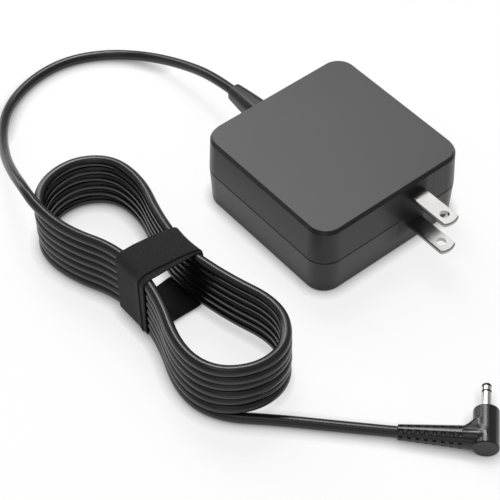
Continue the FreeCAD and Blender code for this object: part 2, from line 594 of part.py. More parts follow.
def power_device(label, x, y, face):
    """A flat moulded power device standing on three legs; face is the side of its tab."""
    bodyb = box(label + "_case", "10", "4.4", "15", x, y, top + 2.6)
    soft = soft_edges(label + "_edges", bodyb, 0.3)
    legsb = [box("%s_lead_%d" % (label, i), "0.8", "0.6", "2.7", x + 2.06 + i * 2.54, y + 1.9, top) for i in range(3)]
    f = fuse(label + "_parts", [soft] + legsb)
    hole = cyl(label + "_hole", "1.6", "8", x + 5, y - 1, top + 15.0, V(1, 0, 0), -90)
    return node(cut(label + "_node", f, hole), label)


def heatsink(label, x, y, length, height, foot):
    """A bent aluminium plate: an upright and a foot on the board."""
    up = box(label + "_plate", str(length), "1.2", str(height), x, y, top)
    ft = box(label + "_foot", str(length), str(abs(foot)), "1.2", x, y if foot > 0 else y + 1.2 + foot, top)
    f = fuse(label + "_parts", [up, ft])
    hole = cyl(label + "_hole", "1.6", "8", x + length / 2.0, y - 3, top + 15.0, V(1, 0, 0), -90)
    return node(cut(label + "_node", f, hole), label)


heatsink("primary_heatsink", -14.6, 19.6, 12.0, 17.6, -1.2)
power_device("power_switch", -13.6, 20.85, 1)
heatsink("secondary_heatsink", -26.0, -23.3, 12.0, 17.6, -1.2)
power_device("output_rectifier", -25.0, -22.05, 1)
# the plates' screws, two alike
screws = []
for i, (x, y) in enumerate(((-8.6, 19.6), (-20.0, -23.3))):
    b = new_body("screw_%d" % i)
    s = new_sketch(b, "screw_profile_%d" % i, "XZ_Plane")
    poly(s, [("0", "-1.7"), ("2.2", "-1.7"), ("2.7", "-1.2"), ("2.7", "0"), ("1.5", "0"), ("1.5", "5.6"), ("0", "5.6")])
    revolve(b, s, "screw_rev_%d" % i)
    place(b, x, y, top + 15.0, V(1, 0, 0), -90)
    screws.append(b)
node(group("HeatsinkScrews", screws), "heatsink_screws")

disc = cyl("ycap_disc", "3.4", "3.4", -16.9, -2.6, top + 4.6, V(1, 0, 0), 90)
f1 = soft_edges("ycap_round", disc, 1.0, lambda k, e: k.YLength < 0.01)
node(fuse("YCapacitor", [f1] + [cyl("ycap_leg_a", "0.35", "3.0", -19.0, -4.3, top), cyl("ycap_leg_b", "0.35", "3.0", -14.8, -4.3, top)]), "y_capacitor")
rod = cyl("inductor_rod", "1.7", "10.5", -22.9, -11.8, top)
coil = cut("inductor_coil", cyl("inductor_coil_o", "3.0", "8", -22.9, -11.8, top + 1.2), cyl("inductor_coil_i", "1.7", "12", -22.9, -11.8, top))
node(rod, "inductor_rod")
node(soft_edges("InductorWinding", coil, 0.3), "inductor_winding")
bx = box("opto_box", "4.6", "6.4", "3.4", -4.3, -14.8, top + 0.4)
opto = soft_edges("opto_edges", bx, 0.2)
node(fuse("Optocoupler", [opto] + [box("opto_pin_%d" % i, "1.0", "0.5", "2.0", -4.3 + (0.4 if i % 2 == 0 else 3.2), -15.1 if i < 2 else -8.6, top) for i in range(4)]), "optocoupler")
bx = box("chip_box", "5", "4", "1.5", -4.4, -22.2, top + 0.15)
chip = soft_edges("chip_edges", bx, 0.15, chamfer=True)
pins = [box("chip_pin_%d" % i, "0.45", "1.1", "0.45", -4.0 + 1.27 * (i % 4), -23.2 if i < 4 else -18.3, top) for i in range(8)]
node(fuse("ControllerChip", [chip] + pins), "controller_chip")

b = new_body("HeatSpreaderBody")
s = new_sketch(b, "spreader_outline", offset="spreader_bottom")
rrect(s, "-spreader_half", "spreader_half", "-spreader_half", "spreader_half", "3")
pad(b, s, "spreader_thickness", "spreader")
node(b, "heat_spreader")
tb = top + ch
node(box("thermal_pad_box", "14", "16", "spreader_bottom - board_bottom - board_thickness - core_height", tx - 7, ty - 8, tb), "thermal_pad")


# ---------------------------------------------------------------- wires and cord
def route_path(points, print_as=None):
    """Straight runs joined by tangent arcs; each arc's radius is 0.45 of the shorter run
    divided by the tangent of half the turn."""
    P = [V(*p) for p in points]
    edges, radii, last = [], [], P[0]
    for i in range(1, len(P) - 1):
        a, c, d = P[i - 1], P[i], P[i + 1]
        u, w = (c - a), (d - c)
        la, lb = u.Length, w.Length
        u.normalize()
        w.normalize()
        turn = math.acos(max(-1.0, min(1.0, u.dot(w))))
        back = 0.45 * min(la, lb)
        r = back / math.tan(turn / 2.0)
        radii.append(r)
        t0, t1 = c - u * back, c + w * back
        n = (w - u)
        n.normalize()
        mid = c + n * (math.hypot(r, back) - r)
        edges.append(Part.LineSegment(last, t0).toShape())
        edges.append(Part.Arc(t0, mid, t1).toShape())
        last = t1
    edges.append(Part.LineSegment(last, P[-1]).toShape())
    wire = Part.Wire(edges)
    if print_as:
        print(print_as, "radii", [round(r, 1) for r in radii], "least", round(min(radii), 1), "length", round(wire.Length, 1))
    return wire


def tube(points, radius, print_as=None):
    wire = route_path(points, print_as)
    start = V(*points[0])
    d = V(*points[1]) - start
    d.normalize()
    sect = Part.Wire([Part.Circle(start, d, radius).toShape()])
    solid = wire.makePipeShell([sect], True, False)
    want = math.pi * radius ** 2 * wire.Length
    if abs(solid.Volume / want - 1.0) > 0.01:
        raise RuntimeError("tube volume %.2f, section times length %.2f" % (solid.Volume, want))
    if print_as:
        print(print_as, "volume", round(solid.Volume, 1), "section x length", round(want, 1))
    return solid


def shape_node(name, shape, label, at=None):
    o = doc.addObject("Part::Feature", name)
    o.Shape = shape
    o.Placement = at or FreeCAD.Placement()
    return node(o, label)


# mains wires from the blades' solder tags to the board
zu = val("blade_mid_height") + val("blade_spacing") / 2 + val("blade_thickness") / 2
zl = val("blade_mid_height") - val("blade_spacing") / 2 + val("blade_thickness") / 2
wr = val("lead_wire_radius")
root, yc = val("blade_root"), val("blade_center")
live = tube([(root + 0.4, yc - 0.6, zu - 0.76), (root - 2.6, yc - 1.4, zu - 0.9), (root - 5.4, yc - 4.2, zu - 5.0),
             (root - 4.6, yc - 4.3, 12.0), (root - 3.6, yc - 4.2, top - 0.2)], wr)
live = live.cut(blades[0].Shape).cut(BOARD.Shape)
shape_node("LiveWire", live, "mains_wire_upper")
neut = tube([(root + 0.4, yc + 0.9, zl - 0.76), (root - 1.1, yc + 1.2, zl - 0.8), (root - 1.9, yc + 1.6, zl - 1.4), (root - 2.1, yc + 1.8, top - 0.2)], wr * 0.9)
neut = neut.cut(blades[1].Shape).cut(BOARD.Shape)
shape_node("NeutralWire", neut, "mains_wire_lower")
# output wires from the strain relief to the board
orad = val("output_wire_radius")
bxr = -val("relief_back_x")
plus = tube([(bxr - 0.3, 1.3, 13.5), (bxr + 1.8, 1.5, 13.3), (bxr + 3.2, 2.4, 11.0), (bxr + 3.4, 2.8, top - 0.2)], orad)
plus = plus.cut(RELIEF.Shape).cut(BOARD.Shape)
shape_node("PlusWire", plus, "output_wire_positive")
minus = tube([(bxr - 0.3, -1.3, 13.5), (bxr + 1.6, -1.4, 13.3), (bxr + 2.6, -1.7, 11.2), (bxr + 2.6, -1.9, top - 0.2)], orad)
minus = minus.cut(RELIEF.Shape).cut(BOARD.Shape)
shape_node("MinusWire", minus, "output_wire_negative")

# The hank in plan: one turn's route, counter-clockwise from its far end. Every turn
# follows it, one layer below the turn before.
TURN = [(-41.6, -86.2), (-27.2, -84.9), (-9.1, -77.1), (11.8, -78.9), (30.7, -86.5), (44.4, -83.9), (51.9, -72.1), (49.6, -59.7),
        (36.8, -52.6), (18.0, -58.6), (0.0, -61.4), (-16.0, -58.2), (-31.2, -52.9), (-45.4, -54.0), (-53.2, -64.7), (-51.3, -78.0)]
# The lead, from the strain relief to the hank's top layer.
LEAD = [(-49.5, 0.0, 13.55), (-61.0, 0.0, 12.6), (-77.6, -1.1, 7.5), (-93.8, -5.4, 2.6), (-105.0, -15.9, 1.75), (-110.9, -29.4, 1.75),
        (-110.1, -44.3, 1.75), (-103.8, -57.9, 2.0), (-91.5, -67.8, 5.0), (-76.8, -75.7, 11.0), (-62.6, -81.2, 18.0), (-51.1, -84.4, 22.75),
        (-41.6, -86.2, 22.75), (-34.4, -85.55, 22.75)]
# The tail, from the hank's bottom layer to the plug's boot.
TAIL = [(43.2, -83.05, 1.75), (56.0, -71.25, 1.75), (69.0, -59.25, 1.85), (83.0, -46.93, 2.32)]

cr, lp, rh = val("cord_radius"), val("layer_pitch"), val("ribbon_half")


def closed_plan(points):
    P = [V(x, y, 0) for x, y in points]
    m = len(P)
    edges, ends = [], []
    for i in range(m):
        a, c, d = P[i - 1], P[i], P[(i + 1) % m]
        u, w = (c - a), (d - c)
        la, lb = u.Length, w.Length
        u.normalize()
        w.normalize()
        turn = math.acos(max(-1.0, min(1.0, u.dot(w))))
        back = 0.45 * min(la, lb)
        r = back / math.tan(turn / 2.0)
        n = (w - u)
        n.normalize()
        ends.append((c - u * back, c + n * (math.hypot(r, back) - r), c + w * back))
    for i in range(m):
        t0, mid, t1 = ends[i]
        edges.append(Part.Arc(t0, mid, t1).toShape())
        edges.append(Part.LineSegment(t1, ends[(i + 1) % m][0]).toShape())
    return Part.Wire(edges)


plan = closed_plan(TURN)
outer = plan.makeOffset2D(rh, 0, False, False, False)
inner = plan.makeOffset2D(-rh, 0, False, False, False)
if outer.BoundBox.XLength < inner.BoundBox.XLength:
    outer, inner = inner, outer
face = Part.Face(outer).cut(Part.Face(inner))
print("ribbon face", round(face.Area, 1), "mm2, thickness times length", round(2 * rh * plan.Length, 1))
if abs(face.Area / (2 * rh * plan.Length) - 1.0) > 0.02:
    raise RuntimeError("the ribbon's face is wrong")
six = 2 * cr + 5 * lp
ribbon = face.extrude(V(0, 0, six))
crown = face.copy()
crown.translate(V(0, 0, six - 0.2))
crown = crown.extrude(V(0, 0, lp + 0.2))
keep = Part.makeBox(110, 30, 20, V(-43.0, -97, 15)).fuse(Part.makeBox(40, 60, 20, V(26.0, -97, 15)))
crown = crown.common(keep)
hank = ribbon.fuse(crown).removeSplitter()
print("one turn in plan", round(plan.Length, 1), "mm")

# ---------------------------------------------------------------- strap round the hank's waist
b = new_body("CordStrapBody")


def strap_outline(sketch, out):
    """The loop's section at a distance out from its inner face: level below, sloping on top, corners cut."""
    l, r = "-strap_left - " + out, "-strap_right + " + out
    low, tl, tr, c = "2 * strap_layer - " + out, "strap_top_left + " + out, "strap_top_right + " + out, "strap_corner"
    slope = " * (strap_top_left - strap_top_right) / (strap_left - strap_right)"
    poly(sketch, [(l + " + " + c, low), (r + " - " + c, low), (r, low + " + " + c), (r, tr + " - " + c),
                  (r + " - " + c, tr + " + " + c + slope), (l + " + " + c, tl + " - " + c + slope),
                  (l, tl + " - " + c), (l, low + " + " + c)])


s = new_sketch(b, "strap_inner_ring", "YZ_Plane", "strap_inner_start")
strap_outline(s, "strap_layer")
strap_outline(s, "0")
pad(b, s, "strap_inner_end - strap_inner_start", "strap_turn")
s = new_sketch(b, "strap_outer_ring", "YZ_Plane", "strap_outer_start")
strap_outline(s, "2 * strap_layer")
strap_outline(s, "strap_layer")
pad(b, s, "strap_outer_end - strap_outer_start", "strap_overlap")
s = new_sketch(b, "strap_trim_side", "YZ_Plane", "strap_outer_start - 1")
rrect(s, "-strap_right + strap_layer", "-strap_right + 6", "4.5", "strap_top_right - 7", "0.5")
pocket(b, s, "20", "strap_trim_right", reverse=True)
node(b, "cord_strap")
strap = b.Shape
hank = hank.cut(strap)
lead = tube(LEAD, cr, "lead").cut(hank).cut(RELIEF.Shape)
tail = tube(TAIL, cr, "tail").cut(hank)
lead = max(lead.Solids, key=lambda q: q.Volume)
tail = max(tail.Solids, key=lambda q: q.Volume)
hank = max(hank.Solids, key=lambda q: q.Volume)
shape_node("CordHank", hank, "cord_hank")
shape_node("CordLead", lead, "cord_lead")

# ---------------------------------------------------------------- barrel plug
yaw = FreeCAD.Rotation(V(0, 0, 1), val("plug_yaw"))
PLUG = FreeCAD.Placement(V(val("plug_x"), val("plug_y"), 0), yaw)
ah, hr = val("plug_axis_height"), val("head_radius")
bl, br0, br1, bz = val("boot_length"), val("boot_end_radius"), val("boot_root_radius"), val("boot_end_height")
rz, ey, ry = val("boot_root_height"), val("boot_end_offset"), val("boot_root_offset")
# head: a short cylinder along y, both ends flat with a small round, and a thin neck round the barrel
head = cyl("plug_head_cylinder", "head_radius", "head_front + head_back", 0, -val("head_front"), ah, V(1, 0, 0), -90)
head_r = soft_edges("plug_head_round", head, val("head_edge"), lambda k, e: k.YLength < 0.01)
neck = cyl("plug_neck", "neck_radius", "neck_front - head_back + 1", 0, val("head_back") - 1, ah, V(1, 0, 0), -90)
# boot: a cone from its end to the head's axis, its lower side on the floor
ax = V(bl, ry - ey, rz - bz)
boot_run = ax.Length
ax.normalize()
cone = doc.addObject("Part::Cone", "plug_boot_cone")
cone.setExpression("Radius1", ex("boot_end_radius"))
cone.setExpression("Radius2", ex("boot_root_radius"))
cone.Height = boot_run
cone.Placement = FreeCAD.Placement(V(-bl, ey, bz), FreeCAD.Rotation(V(0, 0, 1), ax))
doc.recompute()
cone_r = soft_edges("plug_boot_round", cone, 0.3, lambda k, e: k.XMax < -bl + 1.0)
trim = box("plug_boot_trim", "60", "30", "30", -50, -val("head_front") - 30, -10)
cone_t = cut("plug_boot_trimmed", cone_r, trim)
# web in the corner between boot and head
web = doc.addObject("Part::Feature", "plug_web")
g0, g1 = val("gusset_bottom"), val("gusset_top")
tri = Part.Face(Part.makePolygon([V(-2.0, 5.6, 0), V(-3.85, 5.6, 0), V(-6.35, 2.65, 0), V(-6.35, 1.2, 0), V(-2.0, 1.2, 0), V(-2.0, 5.6, 0)]))
web.Shape = tri.extrude(V(0, 0, g1 - g0))
web.Placement = FreeCAD.Placement(V(0, 0, g0), FreeCAD.Rotation())
solid = fuse("plug_solid", [head_r, neck, cone_t, web])
# eight rows of eight notches round the boot
npitch, nl, nw, nd = val("notch_pitch"), val("notch_length"), val("notch_width"), val("notch_depth")
notch_boxes = []
side0 = V(0, 0, 1).cross(ax)
side0.normalize()
up0 = ax.cross(side0)
for j in range(8):
    a = math.radians(-11 + 45 * j)
    out = side0 * math.cos(a) + up0 * math.sin(a)
    tang = ax.cross(out)
    for i in range(8):
        d = 1.0 + npitch * i
        r = br0 + (br1 - br0) * d / boot_run
        c0 = V(-bl, ey, bz) + ax * d + out * r
        bxn = Part.makeBox(nl, nw, nd * 2, V(-nl / 2, -nw / 2, -nd))
        m = FreeCAD.Matrix(ax.x, tang.x, out.x, c0.x, ax.y, tang.y, out.y, c0.y, ax.z, tang.z, out.z, c0.z, 0, 0, 0, 1)
        bxn.Placement = FreeCAD.Placement(m)
        notch_boxes.append(bxn)
notches = doc.addObject("Part::Feature", "boot_notches")
notches.Shape = Part.makeCompound(notch_boxes)
cut1 = cut("plug_notched", solid, notches)
seat = cyl("plug_barrel_seat", "collar_radius", "neck_front - barrel_root + 1", 0, val("barrel_root"), ah, V(1, 0, 0), -90)
cut2 = cut("PlugOvermould", cut1, seat)
cut2.Placement = PLUG
node(cut2, "plug_overmould")


def turned(label, profile, y0):
    """A turned piece on the barrel's axis; its profile is (radius, distance along y)."""
    b = new_body(label + "_body")
    s = new_sketch(b, label + "_profile", "XY_Plane")
    poly(s, profile)
    revolve(b, s, label + "_rev")
    b.Placement = PLUG.multiply(FreeCAD.Placement(V(0, 0, ah), FreeCAD.Rotation()))
    return node(b, label)


turned("plug_barrel", [("barrel_bore", "barrel_root"), ("collar_radius", "barrel_root"), ("collar_radius", "neck_front"),
                       ("barrel_radius", "neck_front"), ("barrel_radius", "barrel_groove"),
                       ("barrel_radius - 0.2", "barrel_groove + 0.12"), ("barrel_radius - 0.2", "barrel_groove + 0.43"),
                       ("barrel_radius", "barrel_groove + 0.55"), ("barrel_radius", "barrel_front"), ("barrel_bore", "barrel_front")], 0)
turned("plug_insulator", [("contact_outer", "barrel_root"), ("barrel_bore", "barrel_root"), ("barrel_bore", "barrel_front"),
                          ("barrel_radius - 0.02", "barrel_front"), ("barrel_radius - 0.02", "tip_front - 0.35"),
                          ("barrel_radius - 0.3", "tip_front"), ("contact_outer", "tip_front")], 0)
turned("plug_contact", [("contact_bore", "barrel_root + 2"), ("contact_outer", "barrel_root + 2"), ("contact_outer", "tip_front - 0.6"),
                        ("contact_bore", "tip_front - 0.6")], 0)
doc.recompute()
tail = tail.cut(cut2.Shape)
tail = max(tail.Solids, key=lambda q: q.Volume)
shape_node("CordTail", tail, "cord_tail")

# ---------------------------------------------------------------- checks and files
doc.recompute()
bad = [o.Name for o in doc.Objects if "Invalid" in o.State or "Error" in o.State]
if bad:
    raise RuntimeError("failed objects: %s" % bad)
os.makedirs("parts", exist_ok=True)
labels = [o.Label for o in NODES]
if len(set(labels)) != len(labels):
    raise RuntimeError("two sub-parts share a label")
total = 0
for o in NODES:
    sh = o.Shape
    if sh.isNull() or not sh.isValid() or not sh.Solids:
        raise RuntimeError("sub-part %s has no valid solid" % o.Label)
    total += len(sh.Solids)
for o in NODES:
    o.Shape.exportStep("parts/%s.step" % o.Label)
    k = o.Shape.BoundBox
    print("%-22s %2d solid(s) %9.1f mm3  x %7.1f %7.1f  y %7.1f %7.1f  z %6.2f %6.2f" % (
        o.Label, len(o.Shape.Solids), o.Shape.Volume, k.XMin, k.XMax, k.YMin, k.YMax, k.ZMin, k.ZMax))
print(len(NODES), "nodes,", total, "solids")
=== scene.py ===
import json
import math

import bmesh
import bpy
import numpy as np
from mathutils import Matrix, Vector


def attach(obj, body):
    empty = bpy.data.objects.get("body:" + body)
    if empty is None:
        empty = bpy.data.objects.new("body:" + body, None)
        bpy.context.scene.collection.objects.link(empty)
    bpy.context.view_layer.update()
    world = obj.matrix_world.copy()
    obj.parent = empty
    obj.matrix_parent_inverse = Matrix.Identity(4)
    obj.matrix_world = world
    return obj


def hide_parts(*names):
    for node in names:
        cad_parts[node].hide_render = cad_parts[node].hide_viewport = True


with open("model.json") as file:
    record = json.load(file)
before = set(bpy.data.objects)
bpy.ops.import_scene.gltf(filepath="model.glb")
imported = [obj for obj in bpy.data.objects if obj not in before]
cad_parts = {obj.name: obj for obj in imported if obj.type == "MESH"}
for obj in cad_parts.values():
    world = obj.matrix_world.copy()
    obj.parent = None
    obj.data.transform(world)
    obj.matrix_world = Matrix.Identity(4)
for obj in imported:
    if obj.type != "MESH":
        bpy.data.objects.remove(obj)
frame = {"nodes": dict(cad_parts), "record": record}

NODES = frame["nodes"]
SCENE = bpy.context.scene
MM = 0.001
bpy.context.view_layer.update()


# ------------------------------------------------------------------ camera
def make_camera():
    az, el, roll = math.radians(51.19), math.radians(48.82), math.radians(-0.81)
    back = Vector((math.sin(az) * math.cos(el), -math.cos(az) * math.cos(el), math.sin(el)))
    right = Vector((math.cos(az), math.sin(az), 0.0))
    up = back.cross(right)
    r2 = right * math.cos(roll) + up * math.sin(roll)
    u2 = up * math.cos(roll) - right * math.sin(roll)
    data = bpy.data.cameras.new("camera")
    data.sensor_width = 36.0
    data.lens = 1635.78 / 500.0 * 36.0
    data.clip_start, data.clip_end = 0.02, 20.0
    cam = bpy.data.objects.new("camera", data)
    m = Matrix((r2, u2, back)).transposed().to_4x4()
    m.translation = Vector((0.26963, -0.25102, 0.39614))
    cam.matrix_world = m
    SCENE.collection.objects.link(cam)
    SCENE.camera = cam
    return cam


make_camera()

# ------------------------------------------------------------------ the cord's route, metres
LEAD = [(-0.05, 0.0, 0.0135), (-0.061, 0.0, 0.0126), (-0.0776, -0.0011, 0.0075), (-0.0938, -0.0054, 0.0026),
        (-0.105, -0.0159, 0.00175), (-0.1109, -0.0294, 0.00175), (-0.1101, -0.0443, 0.00175), (-0.1038, -0.0579, 0.002),
        (-0.0915, -0.0678, 0.005), (-0.0768, -0.0757, 0.011), (-0.0626, -0.0812, 0.018), (-0.0511, -0.0844, 0.02275)]
TURN = [(-0.0414, -0.08595), (-0.0272, -0.0849), (-0.0091, -0.0771), (0.0118, -0.0789), (0.0307, -0.0865), (0.0444, -0.0839),
        (0.0519, -0.0721), (0.0496, -0.0597), (0.0368, -0.0526), (0.018, -0.0586), (0.0, -0.0614), (-0.016, -0.0582),
        (-0.0312, -0.0529), (-0.0454, -0.054), (-0.0532, -0.0647), (-0.0513, -0.078)]
DROP = [0, 0, 0, 0, 0, 0, 0, 0.1, 0.25, 0.42, 0.58, 0.7, 0.8, 0.9, 0.97, 1.0]
LIFT = [0, 0, 0.00095, 0.00095, 0, 0, 0, 0, 0, 0.00065, 0.0013, 0.00065, 0, 0, 0, 0]
TAIL = [(0.0573, -0.0706, 0.00175), (0.06985, -0.05905, 0.0019), (0.0830, -0.04693, 0.00232)]
TOP_Z, PITCH, CORD_R = 0.02275, 0.0035, 0.00175
# how far each turn lies off the neat stack at each of its points: the hand that wound it
LAY = [(0.00000, 0.00000), (0.00022, -0.00018), (-0.00016, 0.00024), (0.00020, 0.00012), (-0.00024, -0.00014),
       (0.00012, 0.00022), (-0.00008, -0.00020)]
LOOSE = [1.0, 0.6, 0.1, 0.1, 0.6, 1.0, 1.2, 1.0, 0.9, 0.5, 0.1, 0.1, 0.5, 0.9, 1.2, 1.1]


def route():
    points = list(LEAD)
    for k in range(7):
        for j, (x, y) in enumerate(TURN):
            if k == 6 and j > 5:
                break
            z = max(TOP_Z - PITCH * (k + DROP[j]), CORD_R) + LIFT[j]
            dx, dy = LAY[k]
            w = LOOSE[j]
            if k == 0 and j < 2 or k == 6 and j > 3:
                w = 0.0
            points.append((x + dx * w, y + dy * w * math.cos(1.3 * k + 0.55 * j), z))
    return points + TAIL


def make_cord():
    pts = route()
    curve = bpy.data.curves.new("output_cord", "CURVE")
    curve.dimensions = "3D"
    spline = curve.splines.new("NURBS")
    spline.points.add(len(pts) - 1)
    for p, co in zip(spline.points, pts):
        p.co = (*co, 1.0)
    spline.use_endpoint_u = True
    spline.order_u = 3
    spline.resolution_u = 14
    curve.bevel_depth = CORD_R
    curve.bevel_resolution = 7
    curve.use_fill_caps = True
    ob = bpy.data.objects.new("output_cord", curve)
    SCENE.collection.objects.link(ob)
    return ob


cord = make_cord()


# ------------------------------------------------------------------ materials
class Nodes:
    """A short way to write a node material."""

    def __init__(self, name):
        self.mat = bpy.data.materials.new(name)
        self.mat.use_nodes = True
        self.tree = self.mat.node_tree
        self.tree.nodes.clear()
        self.out = self.add("ShaderNodeOutputMaterial")
        self.bsdf = self.add("ShaderNodeBsdfPrincipled")
        self.link(self.bsdf.outputs[0], self.out.inputs["Surface"])
        self.coord = self.add("ShaderNodeTexCoord").outputs["Object"]

    def add(self, kind, **props):
        n = self.tree.nodes.new(kind)
        for k, v in props.items():
            setattr(n, k, v)
        return n

    def link(self, a, b):
        self.tree.links.new(a, b)

    def set(self, **values):
        for k, v in values.items():
            self.bsdf.inputs[k.replace("_", " ")].default_value = v

    def noise(self, scale, detail=3.0, rough=0.5, stretch=None):
        n = self.add("ShaderNodeTexNoise")
        n.inputs["Scale"].default_value = scale
        n.inputs["Detail"].default_value = detail
        n.inputs["Roughness"].default_value = rough
        src = self.coord
        if stretch:
            m = self.add("ShaderNodeMapping")
            m.inputs["Scale"].default_value = stretch
            self.link(src, m.inputs["Vector"])
            src = m.outputs[0]
        self.link(src, n.inputs["Vector"])
        return n.outputs["Fac"]

    def ramp(self, fac, stops, linear=True):
        r = self.add("ShaderNodeValToRGB")
        r.color_ramp.interpolation = "LINEAR" if linear else "EASE"
        el = r.color_ramp.elements
        while len(el) < len(stops):
            el.new(0.5)
        for e, (pos, col) in zip(el, stops):
            e.position = pos
            e.color = (*col, 1.0) if len(col) == 3 else col
        self.link(fac, r.inputs["Fac"])
        return r.outputs["Color"]

    def math(self, op, a, b=None, c=None, clamp=False):
        n = self.add("ShaderNodeMath", operation=op, use_clamp=clamp)
        for i, v in enumerate((a, b, c)):
            if v is None:
                continue
            if isinstance(v, (int, float)):
                n.inputs[i].default_value = v
            else:
                self.link(v, n.inputs[i])
        return n.outputs[0]

    def span(self, fac, lo, hi, to_lo=0.0, to_hi=1.0, smooth=False):
        n = self.add("ShaderNodeMapRange", interpolation_type="SMOOTHSTEP" if smooth else "LINEAR")
        for i, v in enumerate((None, lo, hi, to_lo, to_hi)):
            if v is not None:
                n.inputs[i].default_value = v
        self.link(fac, n.inputs[0])
        return n.outputs[0]

    def axes(self):
        s = self.add("ShaderNodeSeparateXYZ")
        self.link(self.coord, s.inputs[0])
        return s.outputs

    def mix(self, fac, a, b):
        n = self.add("ShaderNodeMix", data_type="RGBA")
        if isinstance(fac, (int, float)):
            n.inputs["Factor"].default_value = fac
        else:
            self.link(fac, n.inputs["Factor"])
        for key, v in ((6, a), (7, b)):
            if isinstance(v, tuple):
                n.inputs[key].default_value = (*v, 1.0)
            else:
                self.link(v, n.inputs[key])
        return n.outputs[2]

    def bump(self, height, strength, distance, into=None):
        b = self.add("ShaderNodeBump")
        b.inputs["Strength"].default_value = strength
        b.inputs["Distance"].default_value = distance
        self.link(height, b.inputs["Height"])
        if into is not None:
            self.link(into, b.inputs["Normal"])
        self.link(b.outputs[0], self.bsdf.inputs["Normal"])
        return b.outputs[0]


def tone(v, warm=0.0):
    return (v * (1.0 + warm), v, v * (1.0 - warm))


def moulded(name, dark, light, rough, grain=5200.0, depth=0.000012, strength=0.35, ior=1.5):
    """Moulded plastic: an even colour with faint clouding, spark-eroded grain, slightly uneven gloss."""
    n = Nodes(name)
    cloud = n.noise(38.0, 4.0, 0.55)
    n.link(n.ramp(cloud, [(0.3, dark), (0.7, light)]), n.bsdf.inputs["Base Color"])
    fine = n.noise(900.0, 2.0, 0.5)
    n.link(n.span(fine, 0.3, 0.7, rough - 0.03, rough + 0.04), n.bsdf.inputs["Roughness"])
    n.set(IOR=ior)
    g = n.noise(grain, 2.0, 0.6)
    n.bump(g, strength, depth)
    return n


def painted_shade_by_blades(n, x, y, z):
    """1 beside the blades on the +X wall, mostly on their left, fading to 0 over a few millimetres: the mask of the
    painted shade beside the blades, which makes the wall darker and duller there than elsewhere."""
    left = n.math("MULTIPLY", n.math("SUBTRACT", 0.0060, y), 0.50)
    right = n.math("MULTIPLY", n.math("SUBTRACT", y, 0.0115), 2.2)
    dy = n.math("MAXIMUM", n.math("MAXIMUM", left, right), 0.0)
    dz = n.math("MAXIMUM", n.math("MAXIMUM", n.math("SUBTRACT", z, 0.0262), n.math("SUBTRACT", 0.0105, z)), 0.0)
    dist = n.math("SQRT", n.math("ADD", n.math("MULTIPLY", dy, dy), n.math("MULTIPLY", dz, dz)))
    near = n.span(dist, 0.0006, 0.0068, 1.0, 0.0, smooth=True)
    return n.math("MULTIPLY", near, n.span(x, 0.0280, 0.0285, 0.0, 1.0))


